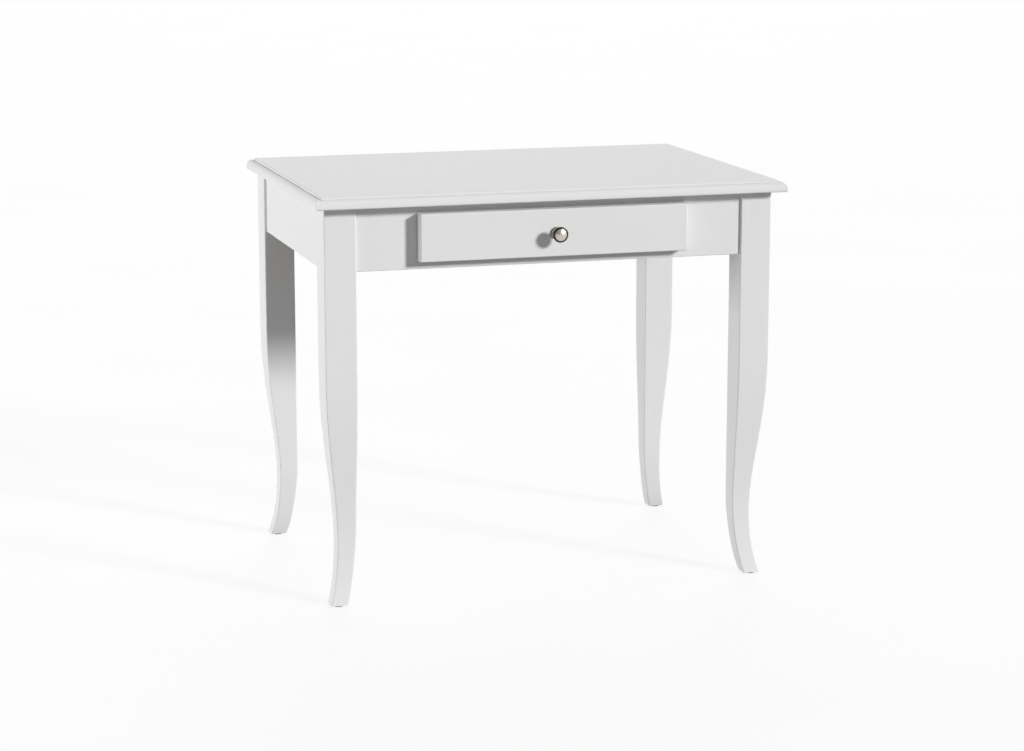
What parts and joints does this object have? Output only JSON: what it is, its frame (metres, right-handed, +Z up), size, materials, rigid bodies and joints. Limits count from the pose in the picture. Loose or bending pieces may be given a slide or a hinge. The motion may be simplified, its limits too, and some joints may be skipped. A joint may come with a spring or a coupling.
{
  "type": "writing desk with drawer",
  "caption": "Small writing desk with a moulded flat top on sabre legs, and a shallow drawer with a round knob that slides out of the front apron.",
  "frame": {"origin": "on the floor, under the middle of the whole desk's box with the drawer shut, knob included", "axes": "+X to the right of somebody sitting at the desk, -Y out of the drawer front towards them, +Z up"},
  "size_m": [0.9, 0.6626, 0.767],
  "materials": {
    "white_lacquer": "matt white lacquer over wood",
    "bare_beech": "planed, unfinished",
    "birch_board": "sanded, clear lacquer",
    "white_hardboard": "white-faced fibreboard",
    "zinc_steel": "zinc plated",
    "aged_nickel": "aged nickel, satin",
    "glide_plastic": "matt"
  },
  "bodies": {
    "desk": {"desk_top": "white_lacquer", "front_apron": "white_lacquer", "rear_apron": "white_lacquer", "side_apron_left": "white_lacquer", "side_apron_right": "white_lacquer", "leg_front_left": "white_lacquer", "leg_front_right": "white_lacquer", "leg_rear_left": "white_lacquer", "leg_rear_right": "white_lacquer", "glide_front_left": "glide_plastic", "glide_front_right": "glide_plastic", "glide_rear_left": "glide_plastic", "glide_rear_right": "glide_plastic", "corner_block_front_left": "bare_beech", "corner_block_front_right": "bare_beech", "corner_block_rear_left": "bare_beech", "corner_block_rear_right": "bare_beech", "drawer_runner_left": "bare_beech", "drawer_runner_right": "bare_beech", "drawer_guide_left": "bare_beech", "drawer_guide_right": "bare_beech", "drawer_kicker_left": "bare_beech", "drawer_kicker_right": "bare_beech", "closing_stop_left": "bare_beech", "closing_stop_right": "bare_beech", "pull_stop_batten": "bare_beech", "top_cleat_left": "bare_beech", "top_cleat_right": "bare_beech", "top_cleat_rear": "bare_beech", "apron_dowels": "bare_beech", "runner_dowels": "bare_beech", "hanger_bolts": "zinc_steel", "bolt_washers": "zinc_steel", "bolt_nuts": "zinc_steel", "top_screws": "zinc_steel"},
    "drawer": {"drawer_front": "white_lacquer", "drawer_box_front": "birch_board", "drawer_side_left": "birch_board", "drawer_side_right": "birch_board", "drawer_back": "birch_board", "drawer_bottom": "white_hardboard", "drawer_box_dowels": "bare_beech", "drawer_front_screws": "zinc_steel", "drawer_knob": "aged_nickel", "knob_collar": "aged_nickel", "knob_screw": "zinc_steel"}
  },
  "joints": [
    {"name": "drawer_slide", "type": "slide", "parent": "desk", "child": "drawer", "axis": [0, -1, 0], "range_m": [0, 0.277]}
  ]
}
